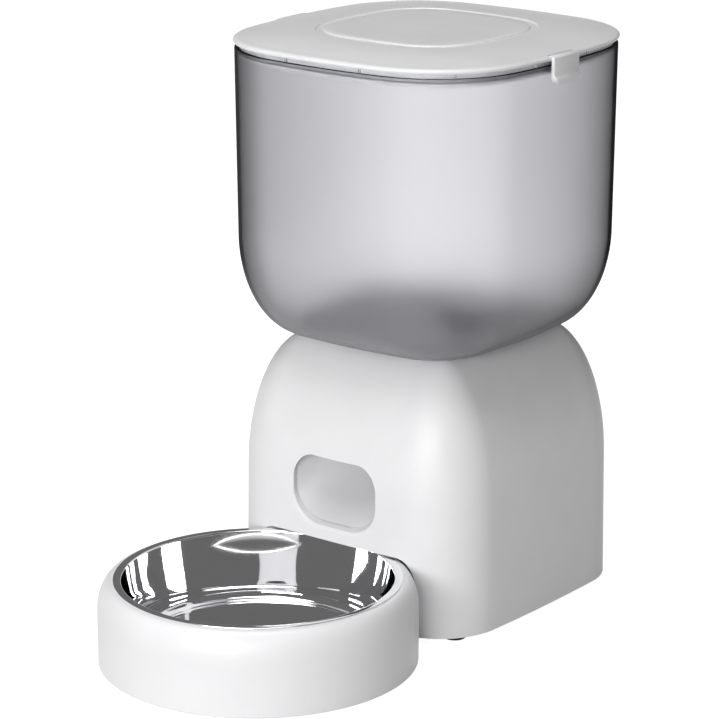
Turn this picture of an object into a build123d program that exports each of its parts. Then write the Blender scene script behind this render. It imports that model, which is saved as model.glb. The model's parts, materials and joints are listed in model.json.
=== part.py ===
from build123d import *
import math
import os

# Automatic pet feeder: a lidded hopper stands on a moulded base with a rotor drive inside,
# and a steel bowl in a round holder slides into a bay at the front of the base.
# The parts are drawn about the hopper's upright axis, with the bowl towards -Y and the floor
# at Z = 0, and placed at the end so that the origin lies under the middle of the footprint.

# Driving dimensions in millimetres

# Lid and hopper plan
lid_width = 180.0
lid_depth = 185.0
lid_corner_radius = 57.0
lid_side_radius = 370.0
hopper_inset = 0.8
hopper_draft = 1.8
hopper_wall = 2.2
lip_step = 2.6
lip_wall = 1.6
lip_rib_count = 12
lip_rib_width = 1.0
lip_rib_depth = 1.0
waist_width = 126.0

# Base plan
base_width = 159.0
base_depth = 166.0
base_corner_radius = 36.0
base_side_radius = 1110.0
base_setback = 2.5
base_wall = 2.5
crown_width = 100.0
skirt_flare = 0.8

# Heights
floor_z = -2.0
shell_bottom_z = 2.0
plate_bottom_z = 2.6
plate_thickness = 2.5
base_shoulder_z = 70.0
base_top_z = 146.0
seat_gap = 0.3
hopper_round_z = 212.0
hopper_shoulder_z = 301.0
lid_edge_z = 303.8
lid_edge_height = 2.6
lid_crown_rise = 2.8
panel_rise = 0.2

# Lid details
lid_rim_width = 9.0
lid_skin = 2.2
panel_width = 96.5
panel_depth = 99.0
panel_groove = 3.5
panel_groove_depth = 0.8
panel_chamfer = 0.8
liner_clearance = 0.9
liner_wall = 1.8
liner_drop = 7.8
seal_height = 2.5
seal_groove = 0.8
seal_clearance = 0.3
lid_screw_share = 1 / 3

# Desiccant holder under the lid
desiccant_radius = 34.0
desiccant_depth = 13.8
desiccant_wall = 1.6
desiccant_cap_wall = 1.7
desiccant_cap_rim = 5.0
desiccant_slot_count = 7

# Latches on both sides of the lid
latch_width = 22.6
latch_offset_y = -3.0
latch_thickness = 1.9
latch_bottom_z = 291.5
latch_lip_height = 3.0
latch_lip_reach = 1.6
latch_corner = 4.0
latch_pin_radius = 0.6
latch_pin_inset = 1.8
latch_knuckle_wall = 0.6

# Bowl and its holder
bowl_distance = 143.5
bowl_rim_radius = 75.0
bowl_rim_width = 4.4
bowl_floor_z = 7.0
bowl_sheet = 0.8
bowl_draft = 1.0
bowl_bend = 3.0
bowl_seat_room = 1.8
holder_radius = 83.3
holder_top_z = 42.4
holder_round_width = 7.8
holder_round_height = 16.0
holder_wall = 2.4
pad_thickness = 0.5
holder_bottom_z = floor_z + pad_thickness
holder_rib_count = 12
bay_clearance = 0.8
tongue_width = 40.0
tongue_height = 6.0
tongue_length = 12.0
tongue_bottom_z = 8.0

# Food outlet and chute
outlet_width = 55.0
outlet_height = 38.4
outlet_corner = 13.0
outlet_bottom_z = 50.2
chute_slope = 52.0
chute_width = 84.0
chute_wall = 2.0
duct_lead = 20.0
duct_reach = 120.0

# Rotor and its housing at the foot of the hopper
rotor_radius = 46.5
rotor_clearance = 0.8
rotor_height = 23.5
rotor_hub_radius = 10.0
rotor_journal_radius = 8.0
rotor_blade_count = 6
rotor_blade_thickness = 2.2
housing_wall = 2.5
housing_flange = 6.0
housing_depth = 28.0
opening_clearance = 0.6
cover_angle = 110.0
cover_inner_radius = 13.0
cover_rise = 4.5
cover_thickness = 2.0
running_clearance = 0.05
touch_clearance = 0.3

# Drive train
gear_module = 1.25
pinion_teeth = 12
wheel_teeth = 32
gear_addendum = 0.7
gear_dedendum = 0.95
gear_backlash = 0.25
pressure_angle = 20.0
gear_face = 5.5
gear_gap = 1.0
gearbox_wall = 2.0
gearbox_floor_z = 90.0
gearbox_floor = 2.5
gear_tip_clearance = 1.2
dog_flats = 8.0
dog_clearance = 0.25
output_shaft_radius = 5.0
output_stub_radius = 3.0
bush_wall = 2.5
axle_radius = 2.0
motor_radius = 14.0
motor_length = 38.0
motor_shaft_radius = 1.5
motor_boss_radius = 4.0
motor_flats = 22.0
motor_tail_radius = 5.0
motor_tail_length = 2.5
motor_screw_spread = 10.0
column_radius = 5.0

# Battery compartment
cell_diameter = 34.2
cell_length = 61.5
cell_count = 3
cell_side_room = 1.0
contact_room = 3.0
box_wall = 2.0
box_rear_gap = 6.5
door_travel = 6.0
door_ledge = 3.0
door_skin = 1.2
door_runner = 2.0
door_grip = (24.0, 12.0, 1.0)

# Rear controls
board_width = 62.0
board_height = 40.0
board_thickness = 1.6
board_setback = 11.5
board_screw_inset = 5.0
board_chips = (((-14, 2), (16, 32), 2.6), ((8, 18), (20, 30), 1.8),
               ((-26, -18), (6, 20), 6.0), ((20, 27), (4, 14), 5.0))
board_bottom_z = 46.0
inlet_x = -20.0
inlet_z = 58.0
inlet_radius = 4.2
button_x = 16.0
button_radius = 4.5
button_flange = 1.5
button_travel = 1.0
button_proud = 1.4
light_x = 0.0
light_radius = 1.6

# Fasteners and feet
screw_radius = 1.3
screw_head_radius = 2.8
screw_head_height = 1.5
screw_boss_radius = 4.0
foot_radius = 6.0
foot_recess = 1.0
foot_inset_x = 16.5
foot_inset_y = 23.5
boss_inset_x = 11.5
boss_inset_y = 40.5
boss_height = 20.0
rib_half = 1.0
pad_radius = 4.0

# Derived positions
lid_plan = (lid_width, lid_depth, lid_corner_radius, lid_side_radius)
base_plan = (base_width, base_depth, base_corner_radius, base_side_radius)
panel_scale = panel_width / lid_width
panel_plan = (panel_width, panel_depth, lid_corner_radius * panel_scale, lid_side_radius * panel_scale)
plate_top_z = plate_bottom_z + plate_thickness
hopper_bottom_z = base_top_z + seat_gap
waist_inset = (min(lid_width, lid_depth) - waist_width) / 2
crown_inset = (min(base_width, base_depth) - crown_width) / 2
lid_screw_spread = min(lid_width, lid_depth) * lid_screw_share
tank_floor_z = hopper_bottom_z + hopper_wall
base_front_y = base_setback - base_depth / 2
base_rear_y = base_setback + base_depth / 2
housing_inner_radius = rotor_radius + rotor_clearance
housing_outer_radius = housing_inner_radius + housing_wall
housing_flange_radius = housing_outer_radius + housing_flange
housing_bottom_z = tank_floor_z - housing_depth - housing_wall
rotor_bottom_z = housing_bottom_z + housing_wall + rotor_clearance
gear_low_z = gearbox_floor_z + gearbox_floor + gear_gap
gear_high_z = gear_low_z + gear_face + gear_gap
gearbox_top_z = gear_high_z + gear_face + gear_gap
cover_top_z = gearbox_top_z + gearbox_floor
gear_distance = gear_module * (pinion_teeth + wheel_teeth) / 2
wheel_tip_radius = gear_module * (wheel_teeth / 2 + gear_addendum)
output_center = (0, 0)
idler_center = (0, gear_distance)
motor_center = (gear_distance, gear_distance)
gearbox_lugs = ((-34.0, -4.0), (34.0, -4.0), (-18.0, 55.0))
bay_top_z = holder_top_z + bowl_sheet + bay_clearance
lip_inset = hopper_inset + lip_step
liner_inset = lip_inset + lip_wall + liner_clearance
liner_bottom_z = lid_edge_z - liner_drop
lid_top_z = lid_edge_z + lid_edge_height + lid_crown_rise
latch_pin_x = lid_width / 2 - latch_pin_inset
latch_pin_z = lid_edge_z + lid_edge_height / 2 - 0.1
box_inner_width = cell_count * cell_diameter + cell_side_room
box_inner_length = cell_length + contact_room
box_top_z = plate_top_z + cell_diameter + cell_side_room + box_wall
box_center_y = base_rear_y - box_rear_gap - box_wall - box_inner_length / 2
board_y = base_rear_y - board_setback
boss_places = [(side * (base_width / 2 - boss_inset_x), base_setback + end * (base_depth / 2 - boss_inset_y))
               for side in (-1, 1) for end in (-1, 1)]
foot_places = [(side * (base_width / 2 - foot_inset_x), base_setback + end * (base_depth / 2 - foot_inset_y))
               for side in (-1, 1) for end in (-1, 1)]
front_reach = bowl_distance + holder_radius
frame_shift_y = (front_reach - lid_depth / 2) / 2


def squircle(plan, inset=0.0):
    """Face with four bowed sides and four round corners, drawn as tangent arcs and inset evenly."""
    a = plan[0] / 2 - inset
    b = plan[1] / 2 - inset
    corner = plan[2] - inset
    side = plan[3] - inset
    u = side - a
    v = side - b
    k = side - corner
    slope = v / u
    shift = (v * v - u * u) / (2 * u)
    half = slope * (shift + u)
    q = (-half + math.sqrt(half**2 - (slope**2 + 1) * ((shift + u) ** 2 - k * k))) / (slope**2 + 1)
    p = slope * q + shift
    right = (-u + side * (p + u) / k, side * q / k)
    top = (side * p / k, -v + side * (q + v) / k)
    across = (right[0] + top[0] - 2 * p, right[1] + top[1] - 2 * q)
    reach = corner / math.hypot(*across)
    middle = (p + reach * across[0], q + reach * across[1])
    edges = []
    for sx, sy in ((1, 1), (-1, 1), (-1, -1), (1, -1)):
        start, end = (right, top) if sx * sy > 0 else (top, right)
        edges.append(ThreePointArc(*[(sx * x, sy * y) for x, y in (start, middle, end)]))
    edges.append(ThreePointArc((right[0], -right[1]), (a, 0), right))
    edges.append(ThreePointArc((-right[0], -right[1]), (-a, 0), (-right[0], right[1])))
    edges.append(ThreePointArc((top[0], top[1]), (0, b), (-top[0], top[1])))
    edges.append(ThreePointArc((top[0], -top[1]), (0, -b), (-top[0], -top[1])))
    return make_face(edges)


def stacked(plan, levels, ruled=False):
    """Loft through insets of one plan, given as (height, inset) pairs."""
    return loft([Pos(0, 0, z) * squircle(plan, inset) for z, inset in levels], ruled=ruled)


def rounded_levels(z_wall, z_flat, inset_wall, inset_flat, steps):
    """Quarter ellipse from an upright wall to a flat, as (height, inset) pairs."""
    angles = [math.pi / 2 * i / steps for i in range(steps + 1)]
    rise = z_flat - z_wall
    run = inset_flat - inset_wall
    return [(z_wall + rise * math.sin(t), inset_wall + run * (1 - math.cos(t))) for t in angles]


def prism(face, z_low, z_high):
    return extrude(Pos(0, 0, z_low) * face, z_high - z_low, dir=(0, 0, 1))


def rod(radius, z_low, z_high, center=(0, 0)):
    return Pos(center[0], center[1], (z_low + z_high) / 2) * Cylinder(radius, z_high - z_low)


def tube(outer, inner, z_low, z_high, center=(0, 0)):
    return rod(outer, z_low, z_high, center) - rod(inner, z_low - 1, z_high + 1, center)


def block(x, y, z):
    """Box between two corners, each given as a (low, high) pair."""
    size = [high - low for low, high in (x, y, z)]
    middle = [(high + low) / 2 for low, high in (x, y, z)]
    return Pos(*middle) * Box(*size)


def rod_along_y(radius, y_low, y_high, x, z):
    return Pos(x, (y_low + y_high) / 2, z) * Rot(90, 0, 0) * Cylinder(radius, y_high - y_low)


def turned(points, angle=360.0):
    """Solid turned about Z from an (r, z) outline."""
    return revolve(Plane.XZ * make_face(Polyline(*points, close=True)), Axis.Z, angle)


def group(solids):
    """Separate solids that share one node."""
    return Part() + solids


def screw(length, z_head, center, head_up=True):
    """Pan-head screw with its head seated at z_head, pointing down or up."""
    way = 1 if head_up else -1
    head = rod(screw_head_radius, min(z_head, z_head + way * screw_head_height),
               max(z_head, z_head + way * screw_head_height), center)
    shank = rod(screw_radius, min(z_head, z_head - way * length), max(z_head, z_head - way * length), center)
    return head + shank


# Base

def base_form(extra_inset=0.0, top_drop=0.0):
    """Outer form of the base, or its cavity when inset by the wall."""
    flare = extra_inset - skirt_flare
    skirt = stacked(base_plan, [(shell_bottom_z, flare), (base_shoulder_z, extra_inset)], ruled=True)
    dome = rounded_levels(base_shoulder_z, base_top_z - top_drop, extra_inset, crown_inset, 6)
    return Pos(0, base_setback, 0) * (skirt + stacked(base_plan, dome))


def bay(grow=0.0):
    """Space under the front of the base that follows the bowl holder's wall and rolled top."""
    gap = bay_clearance + grow
    roof_z = bay_top_z + grow
    low_z = shell_bottom_z - 3
    round_x = holder_radius - holder_round_width
    round_z = holder_top_z - holder_round_height
    roll = EllipticalCenterArc((round_x, round_z), holder_round_width + gap, roof_z - round_z, arc_size=90)
    rest = Polyline((round_x, roof_z), (0, roof_z), (0, low_z), (holder_radius + gap, low_z),
                    (holder_radius + gap, round_z))
    return Pos(0, -bowl_distance, 0) * revolve(Plane.XZ * make_face([roll, rest]), Axis.Z)


def outlet_duct(width=outlet_width, grow=0.0):
    """Slanting duct from the outlet in the front wall up to the rotor housing."""
    mouth = RectangleRounded(width + 2 * grow, outlet_height + 2 * grow, outlet_corner + grow)
    slope = math.tan(math.radians(chute_slope))
    middle_z = outlet_bottom_z + outlet_height / 2 - duct_lead * slope
    start = Plane((0, base_front_y - duct_lead, middle_z), x_dir=(1, 0, 0), z_dir=(0, -1, 0))
    return extrude(start * mouth, duct_reach, dir=Vector(0, 1, slope).normalized())


def tongue(grow=0.0):
    """Flat tongue at the back of the bowl holder."""
    root_y = -bowl_distance + holder_radius - holder_wall
    return block((-tongue_width / 2 - grow, tongue_width / 2 + grow),
                 (root_y, root_y + tongue_length + holder_wall + grow),
                 (tongue_bottom_z - grow, tongue_bottom_z + tongue_height + grow))


def base_shell():
    outer = base_form()
    cavity = base_form(base_wall, base_wall)
    shell = outer - cavity
    shell += bay(base_wall) & outer
    for x, y in boss_places:
        boss_top_z = plate_top_z + boss_height
        boss = rod(screw_boss_radius, plate_top_z, boss_top_z, (x, y))
        rib_end = math.copysign(base_width / 2, x)
        boss += block(sorted((x, rib_end)), (y - rib_half, y + rib_half), (plate_top_z, boss_top_z))
        shell += boss & outer
    for x, z in board_screw_places():
        shell += rod_along_y(screw_boss_radius - 1, board_y + board_thickness, base_rear_y, x, z) & outer
    shell -= bay()
    shell -= tongue(0.5)
    shell -= block((-base_width, base_width), (-2 * base_depth, 2 * base_depth), (-5, shell_bottom_z))
    shell -= rod(housing_outer_radius + opening_clearance, base_shoulder_z, base_top_z + 5)
    front = block((-base_width, base_width), (base_front_y - 5, base_front_y + 12), (0, base_top_z))
    shell -= outlet_duct() & front
    for x, y in boss_places:
        shell -= rod(screw_radius, plate_top_z - 1, plate_top_z + 12, (x, y))
    rear = (base_rear_y - 8, base_rear_y + 5)
    shell -= rod_along_y(inlet_radius, *rear, inlet_x, inlet_z)
    shell -= rod_along_y(button_radius + touch_clearance, *rear, button_x, inlet_z)
    shell -= rod_along_y(light_radius, *rear, light_x, inlet_z)
    return shell


def base_plate():
    outline = Pos(0, base_setback, 0) * squircle(base_plan, base_wall + touch_clearance)
    plate = prism(outline, plate_bottom_z, plate_top_z)
    for x, y in gearbox_lugs[:2]:
        column = rod(column_radius, plate_top_z, gearbox_floor_z, (x, y))
        column += block((x - rib_half, x + rib_half), (y - 11, y + 11), (plate_top_z, plate_top_z + 30))
        column += block((x - 9, x + 9), (y - rib_half, y + rib_half), (plate_top_z, plate_top_z + 30))
        plate += column - rod(screw_radius, gearbox_floor_z - 10, gearbox_floor_z + 1, (x, y))
    plate -= bay(base_wall + touch_clearance)
    plate -= battery_hatch()
    plate -= door_recess()
    for x, y in foot_places:
        plate -= rod(foot_radius, plate_bottom_z - 1, plate_bottom_z + foot_recess, (x, y))
    for x, y in boss_places:
        plate -= rod(screw_radius, plate_bottom_z - 1, plate_top_z + 1, (x, y))
        seat_z = plate_bottom_z + screw_head_height
        plate -= rod(screw_head_radius + touch_clearance, plate_bottom_z - 1, seat_z, (x, y))
    return plate


def food_chute():
    walls = outlet_duct(chute_width, chute_wall) - outlet_duct(chute_width)
    inside = base_form(base_wall + running_clearance, base_wall + running_clearance)
    below_rotor = block((-base_width, base_width), (-base_depth, base_depth), (0, housing_bottom_z - seat_gap))
    return walls & inside & below_rotor


def rubber_feet():
    feet = [rod(foot_radius, floor_z, plate_bottom_z + foot_recess, place) for place in foot_places]
    return group([fillet(foot.edges().sort_by(Axis.Z)[:1], 0.5) for foot in feet])


def plate_screws():
    seat_z = plate_bottom_z + screw_head_height
    return group([screw(12.0, seat_z, place, head_up=False) for place in boss_places])


# Drive train

def gear_face_outline(teeth, turn=0.0):
    """Stub involute gear outline with a tooth on +X, turned by an angle in degrees."""
    pitch = gear_module * teeth / 2
    base = pitch * math.cos(math.radians(pressure_angle))
    root = pitch - gear_dedendum * gear_module
    tip = pitch + gear_addendum * gear_module
    involute = lambda radius: math.tan(math.acos(base / radius)) - math.acos(base / radius)
    half_pitch = (math.pi * gear_module / 2 - gear_backlash) / (2 * pitch)
    flank = [max(base, root), pitch, tip]
    points = []
    for tooth in range(teeth):
        middle = math.radians(turn) + 2 * math.pi * tooth / teeth
        halves = [half_pitch + involute(pitch) - involute(radius) for radius in flank]
        rising = [(root, -halves[0])] + [(r, -h) for r, h in zip(flank, halves)]
        falling = [(r, h) for r, h in zip(reversed(flank), reversed(halves))] + [(root, halves[0])]
        if base <= root:
            rising = rising[1:]
            falling = falling[:-1]
        points += [(r * math.cos(middle + t), r * math.sin(middle + t)) for r, t in rising + falling]
    return make_face(Polyline(*points, close=True))


def gearbox_plan(grow=0.0):
    reach = wheel_tip_radius + gear_tip_clearance + grow
    pinion_reach = gear_module * (pinion_teeth / 2 + gear_addendum) + gear_tip_clearance + grow
    rims = [Pos(*output_center) * Circle(reach), Pos(*idler_center) * Circle(reach),
            Pos(*motor_center) * Circle(pinion_reach + 3)]
    return make_hull([edge for rim in rims for edge in rim.edges()])


def gearbox_lug(place, z_low, z_high):
    """Screw ear that reaches from the gearbox wall out to a column."""
    anchor = idler_center if place[1] > gear_distance else output_center
    ends = [Pos(*center) * Circle(column_radius) for center in (place, anchor)]
    ear = make_hull(ends[0].edges() + ends[1].edges())
    return prism(ear, z_low, z_high) - prism(gearbox_plan(gearbox_wall / 2), z_low - 1, z_high + 1)


def gearbox_housing():
    box = prism(gearbox_plan(gearbox_wall), gearbox_floor_z, gearbox_top_z)
    box -= prism(gearbox_plan(), gearbox_floor_z + gearbox_floor, gearbox_top_z + 1)
    for place in gearbox_lugs:
        box += gearbox_lug(place, gearbox_floor_z, gearbox_floor_z + gearbox_floor + 1.5)
        box -= rod(screw_radius, gearbox_floor_z - 1, gearbox_top_z, place)
    box -= rod(output_stub_radius + running_clearance, gearbox_floor_z - 1, gearbox_top_z, output_center)
    box -= rod(axle_radius, gearbox_floor_z - 1, gearbox_top_z, idler_center)
    box -= rod(motor_boss_radius, gearbox_floor_z - 1, gearbox_top_z, motor_center)
    for place in motor_screw_places():
        box -= rod(screw_radius, gearbox_floor_z - 1, gearbox_top_z, place)
    return box


def motor_screw_places():
    x, y = motor_center
    return [(x, y + motor_screw_spread), (x, y - motor_screw_spread)]


def gearbox_cover():
    lid = prism(gearbox_plan(gearbox_wall), gearbox_top_z, cover_top_z)
    bush_radius = output_shaft_radius + running_clearance + bush_wall
    lid -= rod(bush_radius, gearbox_top_z - 1, cover_top_z + 1, output_center)
    lid -= rod(axle_radius, gearbox_top_z - 1, cover_top_z + 1, idler_center)
    return lid


def output_bush():
    inner = output_shaft_radius + running_clearance
    collar = tube(inner + bush_wall + 1.5, inner, cover_top_z, cover_top_z + 1.2, output_center)
    return collar + tube(inner + bush_wall, inner, gearbox_top_z, cover_top_z, output_center)


def idler_axle():
    return rod(axle_radius, gearbox_floor_z, cover_top_z, idler_center)


def output_gear():
    wheel = prism(gear_face_outline(wheel_teeth), gear_low_z, gear_low_z + gear_face)
    wheel -= tube(wheel_tip_radius - 5.0, output_shaft_radius + 3.0, gear_low_z + 4, gear_low_z + gear_face + 1)
    dog_top_z = rotor_bottom_z + 10.0
    shaft = rod(output_stub_radius, gearbox_floor_z, gear_low_z)
    shaft += rod(output_shaft_radius, gear_low_z, cover_top_z + 2.5)
    shaft += prism(RegularPolygon(dog_flats / 2, 6, major_radius=False), cover_top_z + 2.5, dog_top_z)
    return wheel + shaft


def idler_gear():
    big = prism(gear_face_outline(wheel_teeth), gear_high_z, gear_high_z + gear_face)
    big -= tube(wheel_tip_radius - 5.0, axle_radius + 4.0, gear_high_z + 4, gear_high_z + gear_face + 1)
    small = prism(gear_face_outline(pinion_teeth, 180.0 / pinion_teeth), gear_low_z, gear_high_z)
    bore = rod(axle_radius + running_clearance, gear_low_z - 1, gear_high_z + gear_face + 1)
    return Pos(*idler_center, 0) * (big + small - bore)


def motor_pinion():
    gear = prism(gear_face_outline(pinion_teeth, 180.0 / pinion_teeth), gear_high_z, gear_high_z + gear_face)
    bore = rod(motor_shaft_radius, gear_high_z - 1, gear_high_z + gear_face + 1)
    return Pos(*motor_center, 0) * (gear - bore)


def motor_shaft():
    return rod(motor_shaft_radius, gearbox_floor_z, gear_high_z + gear_face, motor_center)


def drive_motor():
    low_z = gearbox_floor_z - motor_length
    can = rod(motor_radius, low_z, gearbox_floor_z, motor_center)
    can = fillet(can.edges(), 1.5)
    flats = block((-motor_flats / 2, motor_flats / 2), (-motor_radius, motor_radius), (low_z, gearbox_floor_z))
    can &= Pos(*motor_center, 0) * flats
    can += tube(motor_boss_radius, motor_shaft_radius + running_clearance, gearbox_floor_z,
                gearbox_floor_z + gearbox_floor, motor_center)
    can -= rod(motor_shaft_radius + running_clearance, gearbox_floor_z - 1, gearbox_floor_z + 5, motor_center)
    can += rod(motor_tail_radius, low_z - motor_tail_length, low_z, motor_center)
    for place in motor_screw_places():
        can -= rod(screw_radius, gearbox_floor_z - 4, gearbox_floor_z + 1, place)
    return can


def gearbox_screws():
    seat_z = gearbox_floor_z + gearbox_floor + 1.5
    return group([screw(12.0, seat_z, place) for place in gearbox_lugs])


def motor_screws():
    seat_z = gearbox_floor_z + gearbox_floor
    return group([screw(5.5, seat_z, place) for place in motor_screw_places()])


# Battery compartment

def hatch_span(grow=0.0):
    half = box_inner_width / 2 - door_ledge
    front = box_center_y - box_inner_length / 2 + door_ledge
    rear = box_center_y + box_inner_length / 2 - door_ledge
    return half + grow, front - grow, rear + grow


def battery_hatch():
    half, front, rear = hatch_span()
    return block((-half, half), (front, rear), (plate_bottom_z - 1, plate_top_z + 1))


def door_recess():
    """Shallow step under the plate that the door's skin slides into."""
    half, _, rear = hatch_span()
    top_z = plate_bottom_z + door_skin + touch_clearance
    return block((-half, half), (rear - 1, rear + door_travel + touch_clearance), (plate_bottom_z - 1, top_z))


def battery_door():
    half, front, rear = hatch_span(-touch_clearance)
    stop = rear - door_travel
    panel = block((-half, half), (front, stop), (plate_bottom_z, plate_top_z))
    skin = block((-half, half), (front, rear), (plate_bottom_z, plate_bottom_z + door_skin))
    runner_x = (-half - door_runner, half + door_runner)
    runner = block(runner_x, (front, stop), (plate_top_z, plate_top_z + door_skin))
    width, length, depth = door_grip
    grip_y = (front + length / 2, front + 1.5 * length)
    grip = block((-width / 2, width / 2), grip_y, (plate_bottom_z - 1, plate_bottom_z + depth))
    return panel + skin + runner - grip


def battery_box():
    half = box_inner_width / 2
    low = box_center_y - box_inner_length / 2
    high = box_center_y + box_inner_length / 2
    walls = block((-half - box_wall, half + box_wall), (low - box_wall, high + box_wall),
                  (plate_top_z, box_top_z))
    room = block((-half, half), (low, high), (plate_top_z - 1, box_top_z - box_wall))
    x, y = gearbox_lugs[2]
    column = rod(column_radius, box_top_z, gearbox_floor_z, (x, y))
    column += block((x - 12, x + 12), (y - 1, y + 1), (box_top_z, box_top_z + 20))
    column -= rod(screw_radius, gearbox_floor_z - 10, gearbox_floor_z + 1, (x, y))
    dividers = [block((s * cell_diameter / 2 - 0.5, s * cell_diameter / 2 + 0.5), (low, high),
                      (box_top_z - box_wall - 8, box_top_z - box_wall)) for s in (-1, 1)]
    return walls - room + column + dividers


def battery_contacts():
    low = box_center_y - box_inner_length / 2
    high = box_center_y + box_inner_length / 2
    middle_z = plate_top_z + cell_diameter / 2 + 3
    leaves = []
    for i in range(cell_count):
        x = (i - (cell_count - 1) / 2) * cell_diameter
        leaf = block((x - 7, x + 7), (low, low + 0.5), (middle_z - 8, middle_z + 8))
        leaf += rod_along_y(5.0, low + 0.5, low + 1.8, x, middle_z)
        leaves.append(leaf)
        leaves.append(block((x - 7, x + 7), (high - 0.5, high), (middle_z - 8, middle_z + 8)))
    return group(leaves)


# Rear controls

def circuit_board():
    low_x = -board_width / 2
    top_z = board_bottom_z + board_height
    board = block((low_x, -low_x), (board_y, board_y + board_thickness), (board_bottom_z, top_z))
    for x, z in board_screw_places():
        board -= rod_along_y(screw_radius, board_y - 1, board_y + 3, x, z)
    for x, z, height in board_chips:
        board += Pos(0, 0, board_bottom_z) * block(x, (board_y - height, board_y), z)
    switch = (board_y + board_thickness, button_back_y() - button_travel - touch_clearance)
    board += block((button_x - 3, button_x + 3), switch, (inlet_z - 3, inlet_z + 3))
    return board


def board_screw_places():
    x = board_width / 2 - board_screw_inset
    z = board_bottom_z + board_height - board_screw_inset
    return [(-x, z), (x, z)]


def rear_wall_inner_y():
    return base_rear_y - base_wall


def button_back_y():
    return rear_wall_inner_y() - 3.0


def feed_button():
    cap = rod_along_y(button_radius, button_back_y(), base_rear_y + button_proud, button_x, inlet_z)
    cap = fillet(cap.edges().sort_by(Axis.Y)[-1:], 0.8)
    flange_y = rear_wall_inner_y() - 0.8
    return cap + rod_along_y(button_radius + button_flange, button_back_y(), flange_y, button_x, inlet_z)


def light_pipe():
    return rod_along_y(light_radius, board_y + board_thickness, base_rear_y - 0.4, light_x, inlet_z)


def power_inlet():
    socket_y = rear_wall_inner_y() - 0.8
    half = inlet_radius + 1.3
    body = block((inlet_x - half, inlet_x + half), (board_y + board_thickness, socket_y),
                 (inlet_z - half, inlet_z + half))
    nose = rod_along_y(inlet_radius - 0.2, socket_y, base_rear_y - 0.5, inlet_x, inlet_z)
    bore = rod_along_y(2.8, base_rear_y - 9.0, base_rear_y + 1, inlet_x, inlet_z)
    pin = rod_along_y(1.0, base_rear_y - 9.0, base_rear_y - 1.5, inlet_x, inlet_z)
    return body + nose - bore + pin


def board_screws():
    screws = []
    for x, z in board_screw_places():
        shank = rod_along_y(screw_radius, board_y, board_y + board_thickness, x, z)
        screws.append(shank + rod_along_y(screw_head_radius, board_y - screw_head_height, board_y, x, z))
    return group(screws)


# Hopper

def hopper_form(extra_inset=0.0, floor_rise=0.0):
    """Outer form of the hopper, or its cavity when inset by the wall."""
    top = hopper_inset + extra_inset
    waist = waist_inset + extra_inset
    side = [(hopper_shoulder_z, top), (hopper_round_z, top + hopper_draft)]
    foot = rounded_levels(hopper_round_z, hopper_bottom_z + floor_rise, top + hopper_draft, waist, 7)
    return stacked(lid_plan, side, ruled=True) + stacked(lid_plan, foot)


def hopper_lip():
    """Clear stepped-in lip under the lid, with small upright ribs."""
    outer = squircle(lid_plan, lip_inset)
    ring = prism(outer - squircle(lid_plan, lip_inset + lip_wall), hopper_shoulder_z - hopper_wall, lid_edge_z)
    reach = squircle(lid_plan, lip_inset - lip_rib_depth)
    ribs = None
    for i in range(lip_rib_count):
        angle = 360.0 * (i + 0.5) / lip_rib_count
        spoke = Rot(0, 0, angle) * Pos(lid_width / 2, 0, 0) * Rectangle(lid_width, lip_rib_width)
        ribs = spoke if ribs is None else ribs + spoke
    comb = prism((reach & ribs) - outer, hopper_shoulder_z, lid_edge_z)
    return ring + comb


def hopper_tank():
    tank = hopper_form()
    tank -= stacked(lid_plan, [(hopper_shoulder_z + 1, lip_inset + lip_wall),
                               (hopper_shoulder_z - hopper_wall, lip_inset + lip_wall)], ruled=True)
    tank -= hopper_form(hopper_wall, hopper_wall) & block(
        (-lid_width, lid_width), (-lid_depth, lid_depth), (0, hopper_shoulder_z - hopper_wall))
    tank += hopper_lip()
    tank -= rod(housing_outer_radius, hopper_bottom_z - 1, tank_floor_z + 1)
    for place in housing_screw_places():
        tank -= rod(screw_radius, hopper_bottom_z - 1, tank_floor_z + 1, place)
    return tank


def housing_screw_places():
    ring = housing_outer_radius + housing_flange / 2
    return [(ring * math.cos(math.radians(t)), ring * math.sin(math.radians(t))) for t in (20, 90, 160)]


def rotor_housing():
    floor_z = housing_bottom_z + housing_wall
    flange_z = tank_floor_z + housing_wall
    cup = rod(housing_outer_radius, housing_bottom_z, flange_z)
    cup -= rod(housing_inner_radius, floor_z, flange_z + 1)
    cup += tube(housing_flange_radius, housing_inner_radius, tank_floor_z, flange_z)
    ring = tube(housing_inner_radius - 1, rotor_hub_radius + 6, housing_bottom_z - 1, floor_z + 1)
    cup -= outlet_duct() & ring
    cup -= rod(rotor_journal_radius + running_clearance, housing_bottom_z - 1, floor_z + 1)
    for place in housing_screw_places():
        cup -= rod(screw_radius, tank_floor_z - 1, flange_z + 1, place)
    return cup


def housing_screws():
    seat_z = tank_floor_z + housing_wall
    return group([screw(housing_wall + hopper_wall - 0.3, seat_z, p) for p in housing_screw_places()])


def food_rotor():
    top_z = rotor_bottom_z + rotor_height
    hub = turned([(0, rotor_bottom_z), (rotor_hub_radius, rotor_bottom_z), (rotor_hub_radius, top_z),
                  (rotor_hub_radius * 0.6, top_z + 4.0), (0, top_z + 5.0)])
    hub += rod(rotor_journal_radius, housing_bottom_z, rotor_bottom_z)
    for i in range(rotor_blade_count):
        half = rotor_blade_thickness / 2
        blade = block((rotor_hub_radius - 2, rotor_radius), (-half, half), (rotor_bottom_z, top_z))
        hub += Rot(0, 0, 360.0 * i / rotor_blade_count) * blade
    socket = RegularPolygon(dog_flats / 2 + dog_clearance, 6, major_radius=False)
    return hub - prism(socket, housing_bottom_z - 1, rotor_bottom_z + 12.0)


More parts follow.
